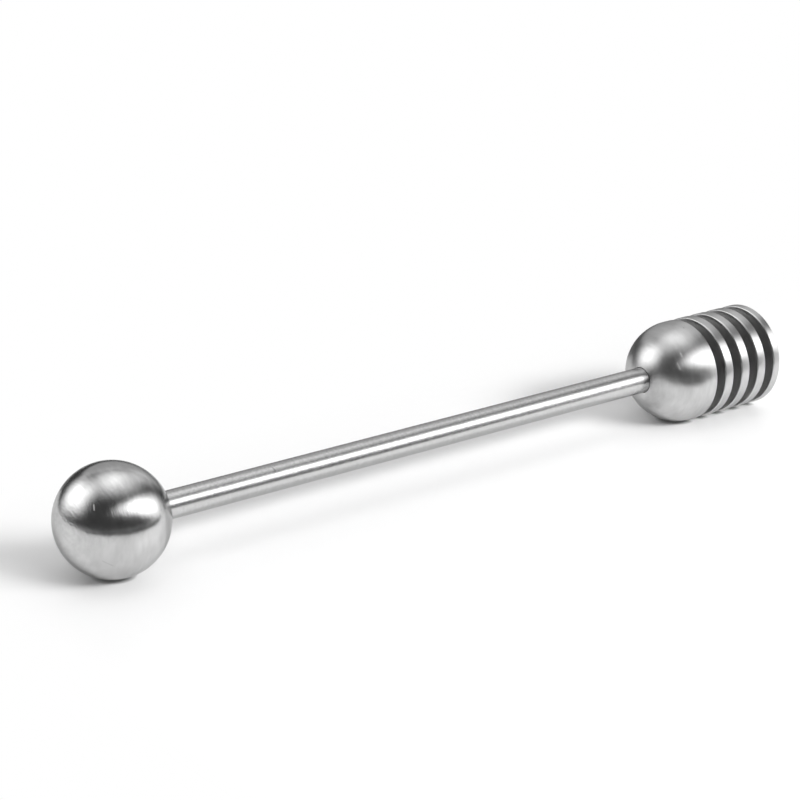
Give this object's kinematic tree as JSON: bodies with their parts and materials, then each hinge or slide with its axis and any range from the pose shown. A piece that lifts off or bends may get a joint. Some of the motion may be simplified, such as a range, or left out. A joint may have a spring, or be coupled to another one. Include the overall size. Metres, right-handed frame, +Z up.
{
  "type": "honey dipper",
  "caption": "Stainless steel honey dipper: a ball knob, a slim straight rod and a domed cylindrical head with deep ring grooves that hold honey.",
  "frame": {"origin": "centre of the bounding box's bottom face: on the table, under the middle of the length", "axes": "+X along the rod's axis from the knob towards the head, +Z up from the table that the dipper lies on"},
  "size_m": [0.16, 0.02, 0.02],
  "materials": {
    "knob_steel": "satin polished stainless steel, soft mirror with fine polishing marks",
    "rod_steel": "ground and lightly polished stainless bar, fine lines",
    "head_steel": "turned and satin polished stainless steel, left dull in the grooves"
  },
  "bodies": {
    "root": {"knob": "knob_steel", "rod": "rod_steel", "head": "head_steel"}
  },
  "joints": []
}
